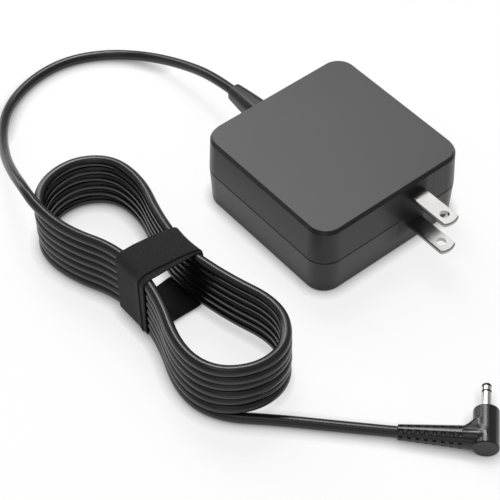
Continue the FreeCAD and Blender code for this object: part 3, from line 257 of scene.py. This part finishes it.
def build_materials():
    m = {}

    # case shells: fine grain on the walls, a plain glossy shoulder under the plate, a darker band along the parting
    # line
    n = Nodes("case_plastic")
    x, y, z = n.axes()
    cloud = n.noise(30.0, 4.0, 0.5)
    wall = n.ramp(cloud, [(0.3, tone(0.0085)), (0.7, tone(0.0105))])
    shoulder = n.span(z, 0.02650, 0.02652, 0.0, 1.0)
    seam = n.math("ABSOLUTE", n.math("SUBTRACT", z, 0.0140))
    seam_mask = n.span(seam, 0.00026, 0.00040, 1.0, 0.0)
    col = n.mix(shoulder, wall, (0.006, 0.006, 0.006))
    col = n.mix(seam_mask, col, (0.004, 0.004, 0.004))
    n.link(col, n.bsdf.inputs["Base Color"])
    fine = n.noise(700.0, 2.0, 0.5)
    rough = n.span(fine, 0.3, 0.7, 0.31, 0.36)
    drop = n.span(z, 0.02650, 0.02652, 0.0, 0.04)
    # painted shade beside the blades on the +X wall: rougher and less reflective there, so it reads darker
    blade_shadow = painted_shade_by_blades(n, x, y, z)
    n.link(n.math("ADD", n.math("SUBTRACT", rough, drop), n.math("MULTIPLY", blade_shadow, 0.12)), n.bsdf.inputs["Roughness"])
    n.link(n.span(blade_shadow, 0.0, 1.0, 0.5, 0.24), n.bsdf.inputs["Specular IOR Level"])
    n.set(IOR=1.40)
    g = n.noise(4800.0, 2.0, 0.6)
    n.bump(g, 0.30, 0.000012)
    m["case_plastic"] = n.mat

    # top plate: satin on top, a dark smooth bevel round it
    n = Nodes("plate_plastic")
    x, y, z = n.axes()
    cloud = n.noise(30.0, 4.0, 0.5)
    face = n.ramp(cloud, [(0.3, tone(0.050)), (0.7, tone(0.055))])
    bevel = n.span(z, 0.02752, 0.02762, 1.0, 0.0)
    n.link(n.mix(bevel, face, (0.007, 0.007, 0.007)), n.bsdf.inputs["Base Color"])
    fine = n.noise(800.0, 2.0, 0.5)
    rough = n.span(fine, 0.3, 0.7, 0.40, 0.45)
    n.link(n.math("SUBTRACT", rough, n.math("MULTIPLY", bevel, 0.14)), n.bsdf.inputs["Roughness"])
    n.set(IOR=1.45)
    n.bump(n.noise(6500.0, 2.0, 0.6), 0.2, 0.000006)
    m["plate_plastic"] = n.mat

    # plug insert: darker, with painted shade darkest near the blades' roots
    n = Nodes("insert_plastic")
    x, y, z = n.axes()
    # painted shade beside the blades: darker base colour, rougher and less reflective there
    blade_shadow = painted_shade_by_blades(n, x, y, z)
    n.link(n.mix(blade_shadow, (0.0095, 0.0095, 0.0095), (0.005, 0.005, 0.005)), n.bsdf.inputs["Base Color"])
    fine = n.noise(900.0, 2.0, 0.5)
    n.link(n.math("ADD", n.span(fine, 0.3, 0.7, 0.33, 0.38), n.math("MULTIPLY", blade_shadow, 0.12)), n.bsdf.inputs["Roughness"])
    n.link(n.span(blade_shadow, 0.0, 1.0, 0.5, 0.24), n.bsdf.inputs["Specular IOR Level"])
    n.set(IOR=1.40)
    n.bump(n.noise(4800.0, 2.0, 0.6), 0.3, 0.000012)
    m["insert_plastic"] = n.mat

    # nickel plate on the blades and the barrel; the barrel's groove is dull
    for key, rough, dark, light in (("blade_nickel", 0.20, 0.36, 0.40), ("barrel_nickel", 0.12, 0.52, 0.58)):
        n = Nodes(key)
        cloud = n.noise(160.0, 3.0, 0.5)
        metal = n.ramp(cloud, [(0.3, tone(dark, 0.01)), (0.7, tone(light, 0.01))])
        n.set(Metallic=1.0)
        draw = n.noise(900.0, 3.0, 0.6, stretch=(0.12, 1.0, 1.0))
        sheen = n.span(draw, 0.3, 0.7, rough - 0.03, rough + 0.05)
        if key == "barrel_nickel":
            x, y, z = n.axes()
            along = n.math("ADD", n.math("MULTIPLY", n.math("SUBTRACT", x, 0.10155), -0.70215),
                           n.math("MULTIPLY", n.math("SUBTRACT", y, -0.0292), 0.71203))
            off = n.math("ABSOLUTE", n.math("SUBTRACT", along, 0.015875))
            groove = n.span(off, 0.00024, 0.00036, 1.0, 0.0)
            metal = n.mix(groove, metal, (0.03, 0.03, 0.03))
            sheen = n.math("ADD", sheen, n.math("MULTIPLY", groove, 0.4))
        n.link(metal, n.bsdf.inputs["Base Color"])
        n.link(sheen, n.bsdf.inputs["Roughness"])
        n.bump(draw, 0.12, 0.00001)
        m[key] = n.mat

    # cord, strain relief and plug: soft black jacket
    for key, dark, light, rough, grain in (("cord_jacket", tone(0.0065), tone(0.0085), 0.23, 3000.0),
                                           ("relief_rubber", tone(0.0075), tone(0.0095), 0.36, 4200.0),
                                           ("plug_rubber", tone(0.0065), tone(0.0085), 0.19, 4200.0)):
        n = moulded(key, dark, light, rough, grain=grain, depth=0.00001, strength=0.25, ior=1.48)
        m[key] = n.mat

    # hook-and-loop strap: a looped face with its pile, and a smoother backing
    n = Nodes("strap_loop")
    pile = n.noise(2600.0, 4.0, 0.7)
    clump = n.noise(420.0, 3.0, 0.6)
    n.link(n.mix(n.span(pile, 0.35, 0.7), tone(0.008), tone(0.026)), n.bsdf.inputs["Base Color"])
    n.set(Roughness=0.85, Specular_IOR_Level=0.25, Sheen_Weight=0.04, Sheen_Roughness=0.5)
    first = n.bump(clump, 0.35, 0.00012)
    n.bump(pile, 0.7, 0.00008, into=first)
    m["strap_loop"] = n.mat
    n = Nodes("strap_back")
    vor = n.add("ShaderNodeTexVoronoi")
    vor.inputs["Scale"].default_value = 2100.0
    n.link(n.coord, vor.inputs["Vector"])
    n.link(n.mix(n.span(vor.outputs["Distance"], 0.1, 0.6), tone(0.046), tone(0.024)), n.bsdf.inputs["Base Color"])
    n.set(Roughness=0.72, Specular_IOR_Level=0.35, Sheen_Weight=0.2, Sheen_Roughness=0.5)
    n.bump(vor.outputs["Distance"], 0.5, 0.00006)
    m["strap_back"] = n.mat

    m["insulator_plastic"] = moulded("insulator_plastic", tone(0.004), tone(0.006), 0.42, strength=0.1, ior=1.42).mat
    n = Nodes("contact_brass")
    n.link(n.ramp(n.noise(300.0), [(0.3, (0.70, 0.52, 0.25)), (0.7, (0.80, 0.62, 0.32))]), n.bsdf.inputs["Base Color"])
    n.set(Metallic=1.0)
    n.link(n.span(n.noise(900.0), 0.3, 0.7, 0.2, 0.32), n.bsdf.inputs["Roughness"])
    m["contact_brass"] = n.mat

    # inside pieces
    m["board_laminate"] = moulded("board_laminate", (0.010, 0.070, 0.028), (0.014, 0.095, 0.038), 0.35, grain=1500.0).mat
    m["film"] = moulded("film", (0.50, 0.47, 0.36), (0.58, 0.55, 0.44), 0.30, grain=900.0).mat
    m["capacitor_sleeve"] = moulded("capacitor_sleeve", (0.010, 0.012, 0.030), (0.014, 0.017, 0.040), 0.30).mat
    m["ferrite"] = moulded("ferrite", tone(0.028), tone(0.040), 0.62, grain=2400.0, strength=0.6, depth=0.00003).mat
    m["bobbin_plastic"] = moulded("bobbin_plastic", tone(0.020), tone(0.026), 0.40).mat
    m["winding_tape"] = moulded("winding_tape", (0.55, 0.36, 0.03), (0.66, 0.45, 0.05), 0.32, grain=1200.0).mat
    n = Nodes("copper_wire")
    n.link(n.ramp(n.noise(700.0), [(0.3, (0.55, 0.20, 0.07)), (0.7, (0.68, 0.28, 0.11))]), n.bsdf.inputs["Base Color"])
    n.set(Metallic=1.0)
    n.link(n.span(n.noise(900.0), 0.3, 0.7, 0.25, 0.4), n.bsdf.inputs["Roughness"])
    m["copper_wire"] = n.mat
    m["blue_epoxy"] = moulded("blue_epoxy", (0.012, 0.050, 0.26), (0.018, 0.070, 0.33), 0.38, grain=1500.0).mat
    m["yellow_plastic"] = moulded("yellow_plastic", (0.62, 0.38, 0.02), (0.70, 0.45, 0.03), 0.38).mat
    m["moulded_black"] = moulded("moulded_black", tone(0.014), tone(0.019), 0.5).mat
    for key, lo, hi, r in (("heatsink_metal", 0.55, 0.68, 0.35), ("screw_steel", 0.42, 0.55, 0.32)):
        n = Nodes(key)
        n.link(n.ramp(n.noise(300.0), [(0.3, tone(lo)), (0.7, tone(hi))]), n.bsdf.inputs["Base Color"])
        n.set(Metallic=1.0)
        n.link(n.span(n.noise(1500.0, 3.0, 0.6, stretch=(0.1, 1.0, 1.0)), 0.3, 0.7, r - 0.06, r + 0.08), n.bsdf.inputs["Roughness"])
        m[key] = n.mat
    m["pad_silicone"] = moulded("pad_silicone", (0.16, 0.20, 0.30), (0.20, 0.25, 0.36), 0.6).mat
    m["wire_insulation"] = moulded("wire_insulation", tone(0.03), tone(0.05), 0.4).mat
    return m


MAT = build_materials()


def dress_node(name, key, smooth_angle=30.0):
    ob = NODES[name]
    if not ob.material_slots:
        ob.data.materials.append(MAT[key])
    for s in ob.material_slots:
        s.material = MAT[key]


for sub in frame["record"]["subparts"]:
    key = sub["material_slot"]
    name = sub["node"]
    if name in ("cord_lead", "cord_hank", "cord_tail", "cord_strap"):
        key = "cord_jacket"
    if name == "strain_relief":
        key = "relief_rubber"
    if name == "plug_overmould":
        key = "plug_rubber"
    if name in NODES:
        dress_node(name, key)


# ------------------------------------------------------------------ mesh helpers
def link_mesh(name, verts, faces, material, smooth=True):
    me = bpy.data.meshes.new(name)
    me.from_pydata([tuple(v) for v in verts], [], [tuple(f) for f in faces])
    me.validate()
    bm = bmesh.new()
    bm.from_mesh(me)
    bmesh.ops.recalc_face_normals(bm, faces=bm.faces)
    bm.to_mesh(me)
    bm.free()
    me.polygons.foreach_set("use_smooth", [smooth] * len(me.polygons))
    me.materials.append(material)
    ob = bpy.data.objects.new(name, me)
    SCENE.collection.objects.link(ob)
    return ob


def surface_nets(field, origin, step):
    """The zero surface of a scalar field on a grid (negative inside), as one quad mesh."""
    inside = field < 0
    nx, ny, nz = field.shape
    cells = (nx - 1, ny - 1, nz - 1)
    total = np.zeros(cells + (3,))
    count = np.zeros(cells)
    corners = [(i, j, k) for i in (0, 1) for j in (0, 1) for k in (0, 1)]
    edges = [(a, b) for a in corners for b in corners if a < b and sum(abs(p - q) for p, q in zip(a, b)) == 1]

    def view_of(c):
        return field[c[0]:nx - 1 + c[0], c[1]:ny - 1 + c[1], c[2]:nz - 1 + c[2]]

    for a, b in edges:
        fa, fb = view_of(a), view_of(b)
        hit = (fa < 0) != (fb < 0)
        t = np.where(hit, fa / np.where(hit, fa - fb, 1.0), 0.0)
        for d in range(3):
            total[..., d] += np.where(hit, a[d] + t * (b[d] - a[d]), 0.0)
        count += hit
    used = count > 0
    index = -np.ones(cells, dtype=np.int64)
    index[used] = np.arange(int(used.sum()))
    base = np.argwhere(used)
    verts = (base + total[used] / count[used][:, None]) * step + np.asarray(origin)
    faces = []
    for axis in range(3):
        a = np.take(inside, range(0, field.shape[axis] - 1), axis=axis)
        b = np.take(inside, range(1, field.shape[axis]), axis=axis)
        for i, j, k in np.argwhere(a != b):
            p = [i, j, k]
            o1, o2 = [d for d in range(3) if d != axis]
            if p[o1] == 0 or p[o2] == 0 or p[o1] >= cells[o1] or p[o2] >= cells[o2]:
                continue
            quad = []
            for s1, s2 in ((0, 0), (1, 0), (1, 1), (0, 1)):
                q = list(p)
                q[o1] -= s1
                q[o2] -= s2
                quad.append(int(index[tuple(q)]))
            if min(quad) < 0:
                continue
            flip = bool(a[i, j, k]) == (axis != 1)
            faces.append(quad if flip else quad[::-1])
    return verts, faces


def smin(a, b, k):
    h = np.clip(0.5 + 0.5 * (b - a) / k, 0.0, 1.0)
    return b * (1 - h) + a * h - k * h * (1 - h)


def smax(a, b, k):
    return -smin(-a, -b, k)


# ------------------------------------------------------------------ barrel plug's overmould
PLUG = Matrix.Translation((0.10155, -0.0292, 0.0)) @ Matrix.Rotation(math.radians(44.6), 4, "Z")
AXIS_Z, HEAD_R, HEAD_FRONT, HEAD_BACK = 3.95, 3.93, 4.3, 9.2
BOOT_A, BOOT_B = np.array([-25.6, 0.40, 2.32]), np.array([0.0, -0.65, 3.92])
BOOT_R0, BOOT_R1 = 2.30, 3.88


def make_plug():
    step = 0.11
    lo, hi = (-26.4, -5.0, -0.35), (4.6, 10.2, 8.5)
    axes = [np.arange(a, b, step) for a, b in zip(lo, hi)]
    X, Y, Z = np.meshgrid(*axes, indexing="ij")
    # head: a cylinder along y with flat ends, and a thin neck round the barrel
    rad = np.hypot(X, Z - AXIS_Z)
    mid, half = (HEAD_BACK - HEAD_FRONT) / 2, (HEAD_BACK + HEAD_FRONT) / 2
    head = smax(rad - HEAD_R, np.abs(Y - mid) - half, 0.42)
    neck = smax(rad - 1.95, Y - 9.62, 0.15)
    neck = np.maximum(neck, 8.0 - Y)
    head = smin(head, neck, 0.12)
    # boot: a cone that runs into the head's side, its end rounded
    ax = BOOT_B - BOOT_A
    length = np.linalg.norm(ax)
    ax /= length
    dx, dy, dz = X - BOOT_A[0], Y - BOOT_A[1], Z - BOOT_A[2]
    along = dx * ax[0] + dy * ax[1] + dz * ax[2]
    out = np.sqrt(np.maximum(dx * dx + dy * dy + dz * dz - along * along, 0.0))
    radius = BOOT_R0 + (BOOT_R1 - BOOT_R0) * np.clip(along / length, 0, 1)
    boot = smax(out - radius, -along, 0.35)
    boot = np.maximum(boot, along - length)
    boot = smax(boot, -HEAD_FRONT - Y, 0.42)
    # notches: eight rows of eight, a rounded slot each
    side0 = np.array([-ax[1], ax[0], 0.0])
    side0 /= np.linalg.norm(side0)
    up0 = np.cross(ax, side0)
    turn = math.radians(21.0)
    ang = np.arctan2(dx * up0[0] + dy * up0[1] + dz * up0[2], dx * side0[0] + dy * side0[1])
    local = ang + turn - np.round((ang + turn) / (math.pi / 4)) * (math.pi / 4)
    which = np.clip(np.round((along - 1.15) / 2.45), 0, 7)
    a = np.abs(along - 1.15 - 2.45 * which) - 0.50
    t = np.abs(out * np.sin(local)) - 0.45
    d = (radius - 0.60) - out
    notch = smax(smax(a, t, 0.14), d, 0.12)
    boot = smax(boot, -notch, 0.08)
    # web in the corner between boot and head: its top nearly level with theirs, its outer edge well rounded
    web = np.abs(Z - 4.05) - 3.15
    slope = (X + 6.35) * -0.762 + (Y - 1.65) * 0.647
    web = smax(smax(web, slope, 1.5), Y - 4.9, 0.6)
    web = smax(web, -6.5 - X, 0.5)
    web = np.maximum(web, X + 1.0)
    web = np.maximum(web, 0.2 - Y)
    body = smin(head, smin(boot, web, 1.0), 0.4)
    body = np.maximum(body, -Z + 0.02)
    verts, faces = surface_nets(body, lo, step)
    verts = [PLUG @ Vector(v * MM) for v in verts]
    ob = link_mesh("barrel_plug_overmould", verts, faces, MAT["plug_rubber"])
    sm = ob.modifiers.new("even", "SMOOTH")
    sm.factor, sm.iterations = 0.5, 4
    return ob


plug = make_plug()
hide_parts("plug_overmould")
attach(plug, "root")


# ------------------------------------------------------------------ strap
# One length of tape, wound nearly twice round the hank's waist. Section in the (y, z) plane, mm: the cords it
# squeezes lie between S_L and S_R, and its top slopes down towards the right, where each turn drops a layer.
S_L, S_R, S_B, S_TL, S_TR, S_C, TAPE, GAP = -79.85, -58.85, 0.96, 25.55, 23.65, 2.0, 0.455, 0.03
HALF_WIDE = 5.85
# middle of the tape along x: a value for each place along its length, from its inner end on the right wall
SHIFT = [(0.0, 1.2), (0.10, 1.0), (0.30, 1.1), (0.46, 1.3), (0.66, 1.3), (0.84, 1.7), (1.0, 1.3), (1.12, 0.2),
         (1.22, -0.9), (1.32, -1.1), (1.46, -1.0), (1.58, -0.8), (1.70, -0.8), (1.84, -1.8), (2.0, -1.9)]


def loop_points():
    """The closed section the tape lies on: from the right wall's middle up, over, down and under."""
    slope = (S_TL - S_TR) / (S_L - S_R)
    tilt = math.atan(-slope)

    def top(y):
        return S_TR + slope * (y - S_R)

    pts = []

    def run(p, q, n):
        for i in range(n):
            f = i / n
            pts.append((p[0] + (q[0] - p[0]) * f, p[1] + (q[1] - p[1]) * f))

    def corner(cy, cz, a0, a1, c, n=14):
        for i in range(n):
            a = a0 + (a1 - a0) * i / n
            pts.append((cy + c * math.cos(a), cz + c * math.sin(a)))

    c = S_C
    z_r = top(S_R) - c / math.cos(tilt) - c * math.tan(tilt) * -1.0 - 0.0
    z_l = top(S_L + c) - c / math.cos(tilt)
    run((S_R, 12.0), (S_R, z_r), 14)
    corner(S_R - c, z_r, 0.0, math.pi / 2 - tilt, c)
    start = (S_R - c + c * math.cos(math.pi / 2 - tilt), z_r + c * math.sin(math.pi / 2 - tilt))
    end = (S_L + c + c * math.cos(math.pi / 2 - tilt), z_l + c * math.sin(math.pi / 2 - tilt))
    run(start, end, 24)
    corner(S_L + c, z_l, math.pi / 2 - tilt, math.pi, c)
    run((S_L, z_l), (S_L, S_B + c), 26)
    corner(S_L + c, S_B + c, math.pi, 1.5 * math.pi, c)
    run((S_L + c, S_B), (S_R - c, S_B), 24)
    corner(S_R - c, S_B + c, -math.pi / 2, 0.0, c)
    run((S_R, S_B + c), (S_R, 12.0), 12)
    return np.array(pts)


def make_strap(turns=1.93, step=0.55, across=34):
    loop = loop_points()
    closed = np.vstack([loop, loop[:1]])
    seg = np.hypot(*np.diff(closed, axis=0).T)
    dist = np.concatenate([[0.0], np.cumsum(seg)])
    total = dist[-1]
    count = int(total * turns / step)
    # the section's outline across the tape: lower face, rounded edge, upper face, rounded edge
    section = [(i / across, 0.0) for i in range(across + 1)]
    edge = [(-0.5 + 0.5 * math.sin(math.pi * k / 6), 0.5 - 0.5 * math.cos(math.pi * k / 6)) for k in range(1, 6)]
    section += [(1.0, h) for _, h in edge]
    section += [(1.0 - i / across, 1.0) for i in range(across + 1)]
    section += [(0.0, 1.0 - h) for _, h in edge]
    m = len(section)
    bulge = [0.0] * (across + 1) + [0.16 * math.sin(math.pi * h) for _, h in edge] + [0.0] * (across + 1) + \
            [-0.16 * math.sin(math.pi * h) for _, h in edge]
    verts = []
    for q in range(count + 1):
        s_all = total * turns * q / count
        f_turn = s_all / total
        s = s_all % total
        y0 = np.interp(s, dist, closed[:, 0])
        z0 = np.interp(s, dist, closed[:, 1])
        e = 0.25
        y_a, z_a = np.interp((s - e) % total, dist, closed[:, 0]), np.interp((s - e) % total, dist, closed[:, 1])
        y_b, z_b = np.interp((s + e) % total, dist, closed[:, 0]), np.interp((s + e) % total, dist, closed[:, 1])
        ty, tz = y_b - y_a, z_b - z_a
        ln = math.hypot(ty, tz)
        ny, nz = tz / ln, -ty / ln
        rise = min(max((f_turn - 0.95) / 0.05, 0.0), 1.0)
        off = (TAPE + GAP) * rise * rise * (3 - 2 * rise)
        shift = np.interp(f_turn, [a for a, _ in SHIFT], [b for _, b in SHIFT])
        # the edges are never quite straight
        wave_a = 0.10 * math.sin(s_all * 0.21 + 0.4) + 0.05 * math.sin(s_all * 0.83)
        wave_b = 0.10 * math.sin(s_all * 0.17 + 2.1) + 0.05 * math.sin(s_all * 0.71 + 1.0)
        for (f, h), bl in zip(section, bulge):
            x = shift - HALF_WIDE + 2 * HALF_WIDE * f + bl + wave_a * (1 - f) + wave_b * f
            # selvages a little thicker than the field, and a faint crown across the width
            thick = TAPE * (1.0 - 0.06 * math.exp(-((f - 0.07) / 0.02) ** 2) - 0.06 * math.exp(-((f - 0.93) / 0.02) ** 2))
            puff = 0.05 * math.sin(s_all * 0.35 + 3.0 * f) * math.sin(math.pi * f)
            t = off + (thick + max(puff, 0.0) * (1.0 if h > 0.5 else 0.0)) * h
            y, z = y0 + ny * t, z0 + nz * t
            left = S_L - 0.75 * min(max((x - 2.0) / 5.0, 0.0), 1.0) ** 2 * (3 - 2 * min(max((x - 2.0) / 5.0, 0.0), 1.0))
            right = S_R + 0.55 * (x / 7.0) ** 2
            y = left + (right - left) * (y - S_L) / (S_R - S_L)
            verts.append((x * MM, y * MM, max(z, 0.01) * MM))
    faces = []
    for q in range(count):
        a, b = q * m, (q + 1) * m
        for k in range(m):
            faces.append((a + k, a + (k + 1) % m, b + (k + 1) % m, b + k))
    faces.append(tuple(range(m))[::-1])
    faces.append(tuple(count * m + k for k in range(m)))
    return link_mesh("cord_strap_tape", verts, faces, MAT["strap_loop"])


strap = make_strap()
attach(strap, "root")
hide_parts("cord_strap")

# ------------------------------------------------------------------ cord
cord.data.materials.append(MAT["cord_jacket"])
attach(cord, "root")
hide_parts("cord_lead", "cord_hank", "cord_tail")


# ------------------------------------------------------------------ floor and light
def make_floor():
    """A pale table, lit through from below as for product shots, so the shadows on it stay faint. Its far part
    and the backdrop lie out of the object's own reflections, where a real studio would be dark."""
    n = Nodes("floor_paper")
    n.link(n.ramp(n.noise(6.0, 3.0), [(0.3, (0.20, 0.20, 0.20)), (0.7, (0.205, 0.205, 0.205))]), n.bsdf.inputs["Base Color"])
    n.set(Roughness=0.9, Specular_IOR_Level=0.0, Emission_Color=(1.0, 1.0, 1.0, 1.0), Emission_Strength=FLOOR_GLOW)
    # painted shadow: ambient occlusion turns the glow down within a few millimetres of what stands on the table, so a
    # narrow painted shadow lies along its foot
    tree = n.mat.node_tree
    near = tree.nodes.new("ShaderNodeAmbientOcclusion")
    near.samples = 16
    near.inputs["Distance"].default_value = 0.004
    soft = tree.nodes.new("ShaderNodeMath")
    soft.operation = "POWER"
    soft.inputs[1].default_value = 1.0
    glow = tree.nodes.new("ShaderNodeMath")
    glow.operation = "MULTIPLY"
    glow.inputs[1].default_value = FLOOR_GLOW
    tree.links.new(near.outputs["AO"], soft.inputs[0])
    tree.links.new(soft.outputs[0], glow.inputs[0])
    tree.links.new(glow.outputs[0], n.bsdf.inputs["Emission Strength"])
    a, b, h = FLOOR_NEAR, 6.0, 9.0
    inner = [(-a, -a, 0), (a, -a, 0), (a, a, 0), (-a, a, 0)]
    outer = [(-b, -b, 0), (b, -b, 0), (b, b, 0), (-b, b, 0)]
    high = [(x, y, h) for x, y, _ in outer]
    for name, verts, faces in (("floor", inner, [(0, 1, 2, 3)]),
                               ("floor_far", inner + outer, [(0, 4, 5, 1), (1, 5, 6, 2), (2, 6, 7, 3), (3, 7, 4, 0)]),
                               ("backdrop", outer + high, [(0, 1, 5, 4), (1, 2, 6, 5), (2, 3, 7, 6), (3, 0, 4, 7)])):
        me = bpy.data.meshes.new(name)
        me.from_pydata(verts, [], faces)
        me.materials.append(n.mat)
        ob = bpy.data.objects.new(name, me)
        SCENE.collection.objects.link(ob)
        if name != "floor":
            ob.visible_glossy = ob.visible_diffuse = ob.visible_shadow = False


def make_world():
    """The studio's dim surroundings."""
    w = bpy.data.worlds.new("studio")
    SCENE.world = w
    w.use_nodes = True
    bg = w.node_tree.nodes["Background"]
    bg.inputs["Color"].default_value = (1.0, 1.0, 1.0, 1.0)
    bg.inputs["Strength"].default_value = WORLD_GLOW


def softbox(name, toward, distance, size, size_y, radiance):
    """A soft panel seen from the object in one direction; radiance is what a mirror would show of it."""
    d = Vector(toward).normalized()
    data = bpy.data.lights.new(name, "AREA")
    data.shape = "RECTANGLE"
    data.size, data.size_y = size, size_y
    data.energy = radiance * math.pi * size * size_y
    ob = bpy.data.objects.new(name, data)
    ob.location = d * distance
    ob.rotation_euler = (-d).to_track_quat("-Z", "Y").to_euler()
    SCENE.collection.objects.link(ob)
    return ob


FLOOR_GLOW, WORLD_GLOW, FLOOR_NEAR = 0.81, 0.40, 0.45
PANELS = [
    ("main", (-0.62, 0.25, 0.745), 1.35, 0.40, 0.40, 6.0),
    ("main_up", (-0.36, 0.20, 0.91), 1.35, 0.40, 0.40, 10.5),
    ("back_up", (-0.42, 0.52, 0.745), 1.35, 0.50, 0.50, 1.6),
    ("left_mid", (-0.86, 0.05, 0.51), 1.4, 0.50, 0.50, 3.2),
    ("left_low", (-0.97, -0.15, 0.17), 1.4, 0.70, 0.42, 2.0),
    ("front_left", (-0.52, -0.83, 0.18), 1.4, 0.70, 0.42, 0.45),
    ("near", (0.59, -0.69, 0.40), 1.4, 0.70, 0.50, 0.45),
    ("top_front", (0.15, -0.35, 0.92), 1.4, 0.60, 0.60, 0.8),
]

make_floor()
make_world()
for panel in PANELS:
    softbox(*panel)
SCENE.view_settings.view_transform = "Standard"
SCENE.view_settings.look = "None"
